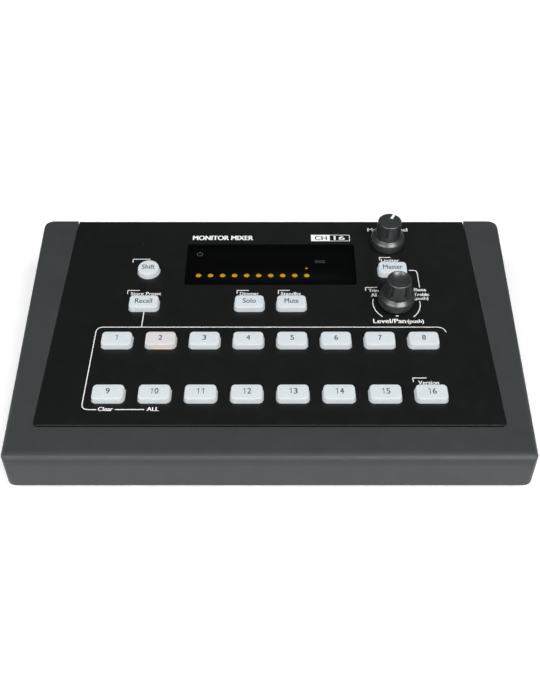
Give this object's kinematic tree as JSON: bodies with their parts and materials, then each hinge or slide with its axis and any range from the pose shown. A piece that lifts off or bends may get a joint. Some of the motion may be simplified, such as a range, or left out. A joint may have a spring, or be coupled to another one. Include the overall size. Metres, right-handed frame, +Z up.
{
  "type": "mixing console",
  "caption": "Small wedge-shaped desktop monitor mixer: grey moulded housing, sloping black sheet top with soft illuminated keys, smoked meter window, two knobs and rear sockets.",
  "frame": {"origin": "centre of the footprint on the table: the middle of the overall width and depth, at the underside of the feet", "axes": "+X to the user's right, +Y from the user to the rear with its sockets, +Z up; the top slopes up to the rear at 10 degrees"},
  "size_m": [0.2232, 0.138, 0.0545],
  "materials": {
    "housing_plastic": "fine moulded texture, satin dark grey",
    "panel_paint": "satin black powder coat with white printed legends",
    "smoked_window": "polished smoked acrylic",
    "black_plastic": "moulded black nylon",
    "amber_lamp": "amber lamp, lit",
    "white_lamp": "small lamp",
    "key_translucent": "translucent white silicone-soft plastic, lit from below",
    "circuit_board": "green solder mask",
    "plated_steel": "zinc plated",
    "black_steel": "black oxide",
    "nickel": "nickel plated, satin",
    "shaft_metal": "turned aluminium",
    "pot_blue": "moulded blue body",
    "pot_case_steel": "folded steel cover",
    "rotor_nylon": "natural nylon",
    "knob_plastic": "soft-touch charcoal",
    "pointer_white": "white",
    "rubber_black": "matt rubber",
    "chip_black": "epoxy",
    "gold_contact": "gold flash",
    "ribbon_grey": "grey PVC ribbon",
    "brass_insert": "turned brass"
  },
  "bodies": {
    "housing": {"lower_housing": "housing_plastic", "top_panel": "panel_paint", "display_window": "smoked_window", "meter_holder": "black_plastic", "meter_lamps": "amber_lamp", "key_switches": "black_plastic", "key_lamps": "white_lamp", "key_board": "circuit_board", "panel_studs": "plated_steel", "board_screws": "plated_steel", "level_pot_body": "pot_blue", "level_pot_nut": "nickel", "encoder_body": "pot_case_steel", "encoder_nut": "nickel", "mic_capsule": "shaft_metal", "mic_boot": "rubber_black", "main_board": "circuit_board", "board_components": "chip_black", "network_socket": "black_plastic", "network_contacts": "gold_contact", "dc_inlet": "black_plastic", "data_port": "nickel", "headphone_jack": "black_plastic", "line_jack": "black_plastic", "small_headphone_jack": "black_plastic", "aux_jack": "black_plastic", "jack_nuts": "nickel", "ribbon_cable": "ribbon_grey", "ribbon_headers": "black_plastic", "housing_screws": "black_steel", "rubber_feet": "rubber_black", "stand_insert": "brass_insert"},
    "level_rotor": {"level_pot_shaft": "shaft_metal", "level_knob": "knob_plastic", "level_pointer": "pointer_white"},
    "encoder_turn": {"encoder_rotor": "rotor_nylon"},
    "encoder_push": {"encoder_shaft": "shaft_metal", "encoder_knob": "knob_plastic"},
    "key_1_cap": {"key_1": "key_translucent"},
    "key_2_cap": {"key_2": "key_translucent"},
    "key_3_cap": {"key_3": "key_translucent"},
    "key_4_cap": {"key_4": "key_translucent"},
    "key_5_cap": {"key_5": "key_translucent"},
    "key_6_cap": {"key_6": "key_translucent"},
    "key_7_cap": {"key_7": "key_translucent"},
    "key_8_cap": {"key_8": "key_translucent"},
    "key_9_cap": {"key_9": "key_translucent"},
    "key_10_cap": {"key_10": "key_translucent"},
    "key_11_cap": {"key_11": "key_translucent"},
    "key_12_cap": {"key_12": "key_translucent"},
    "key_13_cap": {"key_13": "key_translucent"},
    "key_14_cap": {"key_14": "key_translucent"},
    "key_15_cap": {"key_15": "key_translucent"},
    "key_16_cap": {"key_16": "key_translucent"},
    "key_recall_cap": {"key_recall": "key_translucent"},
    "key_solo_cap": {"key_solo": "key_translucent"},
    "key_mute_cap": {"key_mute": "key_translucent"},
    "key_master_cap": {"key_master": "key_translucent"},
    "key_shift_cap": {"key_shift": "key_translucent"}
  },
  "joints": [
    {"name": "key_1_press", "type": "slide", "parent": "housing", "child": "key_1_cap", "axis": [0, 0.1736, -0.9848], "range_m": [0, 0.0008], "stiffness_N_per_m": 900, "springref_m": -0.0006},
    {"name": "key_2_press", "type": "slide", "parent": "housing", "child": "key_2_cap", "axis": [0, 0.1736, -0.9848], "range_m": [0, 0.0008], "stiffness_N_per_m": 900, "springref_m": -0.0006},
    {"name": "key_3_press", "type": "slide", "parent": "housing", "child": "key_3_cap", "axis": [0, 0.1736, -0.9848], "range_m": [0, 0.0008], "stiffness_N_per_m": 900, "springref_m": -0.0006},
    {"name": "key_4_press", "type": "slide", "parent": "housing", "child": "key_4_cap", "axis": [0, 0.1736, -0.9848], "range_m": [0, 0.0008], "stiffness_N_per_m": 900, "springref_m": -0.0006},
    {"name": "key_5_press", "type": "slide", "parent": "housing", "child": "key_5_cap", "axis": [0, 0.1736, -0.9848], "range_m": [0, 0.0008], "stiffness_N_per_m": 900, "springref_m": -0.0006},
    {"name": "key_6_press", "type": "slide", "parent": "housing", "child": "key_6_cap", "axis": [0, 0.1736, -0.9848], "range_m": [0, 0.0008], "stiffness_N_per_m": 900, "springref_m": -0.0006},
    {"name": "key_7_press", "type": "slide", "parent": "housing", "child": "key_7_cap", "axis": [0, 0.1736, -0.9848], "range_m": [0, 0.0008], "stiffness_N_per_m": 900, "springref_m": -0.0006},
    {"name": "key_8_press", "type": "slide", "parent": "housing", "child": "key_8_cap", "axis": [0, 0.1736, -0.9848], "range_m": [0, 0.0008], "stiffness_N_per_m": 900, "springref_m": -0.0006},
    {"name": "key_9_press", "type": "slide", "parent": "housing", "child": "key_9_cap", "axis": [0, 0.1736, -0.9848], "range_m": [0, 0.0008], "stiffness_N_per_m": 900, "springref_m": -0.0006},
    {"name": "key_10_press", "type": "slide", "parent": "housing", "child": "key_10_cap", "axis": [0, 0.1736, -0.9848], "range_m": [0, 0.0008], "stiffness_N_per_m": 900, "springref_m": -0.0006},
    {"name": "key_11_press", "type": "slide", "parent": "housing", "child": "key_11_cap", "axis": [0, 0.1736, -0.9848], "range_m": [0, 0.0008], "stiffness_N_per_m": 900, "springref_m": -0.0006},
    {"name": "key_12_press", "type": "slide", "parent": "housing", "child": "key_12_cap", "axis": [0, 0.1736, -0.9848], "range_m": [0, 0.0008], "stiffness_N_per_m": 900, "springref_m": -0.0006},
    {"name": "key_13_press", "type": "slide", "parent": "housing", "child": "key_13_cap", "axis": [0, 0.1736, -0.9848], "range_m": [0, 0.0008], "stiffness_N_per_m": 900, "springref_m": -0.0006},
    {"name": "key_14_press", "type": "slide", "parent": "housing", "child": "key_14_cap", "axis": [0, 0.1736, -0.9848], "range_m": [0, 0.0008], "stiffness_N_per_m": 900, "springref_m": -0.0006},
    {"name": "key_15_press", "type": "slide", "parent": "housing", "child": "key_15_cap", "axis": [0, 0.1736, -0.9848], "range_m": [0, 0.0008], "stiffness_N_per_m": 900, "springref_m": -0.0006},
    {"name": "key_16_press", "type": "slide", "parent": "housing", "child": "key_16_cap", "axis": [0, 0.1736, -0.9848], "range_m": [0, 0.0008], "stiffness_N_per_m": 900, "springref_m": -0.0006},
    {"name": "key_recall_press", "type": "slide", "parent": "housing", "child": "key_recall_cap", "axis": [0, 0.1736, -0.9848], "range_m": [0, 0.0008], "stiffness_N_per_m": 900, "springref_m": -0.0006},
    {"name": "key_solo_press", "type": "slide", "parent": "housing", "child": "key_solo_cap", "axis": [0, 0.1736, -0.9848], "range_m": [0, 0.0008], "stiffness_N_per_m": 900, "springref_m": -0.0006},
    {"name": "key_mute_press", "type": "slide", "parent": "housing", "child": "key_mute_cap", "axis": [0, 0.1736, -0.9848], "range_m": [0, 0.0008], "stiffness_N_per_m": 900, "springref_m": -0.0006},
    {"name": "key_master_press", "type": "slide", "parent": "housing", "child": "key_master_cap", "axis": [0, 0.1736, -0.9848], "range_m": [0, 0.0008], "stiffness_N_per_m": 900, "springref_m": -0.0006},
    {"name": "key_shift_press", "type": "slide", "parent": "housing", "child": "key_shift_cap", "axis": [0, 0.1736, -0.9848], "range_m": [0, 0.0008], "stiffness_N_per_m": 900, "springref_m": -0.0006},
    {"name": "level_turn", "type": "hinge", "parent": "housing", "child": "level_rotor", "pos_m": [0.0558, 0.04897, 0.04549], "axis": [0, -0.1736, 0.9848], "range_deg": [-122, 178]},
    {"name": "encoder_spin", "type": "hinge", "parent": "housing", "child": "encoder_turn", "pos_m": [0.0563, 0.01036, 0.03868], "axis": [0, -0.1736, 0.9848], "continuous": true},
    {"name": "encoder_press", "type": "slide", "parent": "encoder_turn", "child": "encoder_push", "axis": [0, 0.1736, -0.9848], "range_m": [0, 0.0005], "stiffness_N_per_m": 4000, "springref_m": -0.0006}
  ]
}
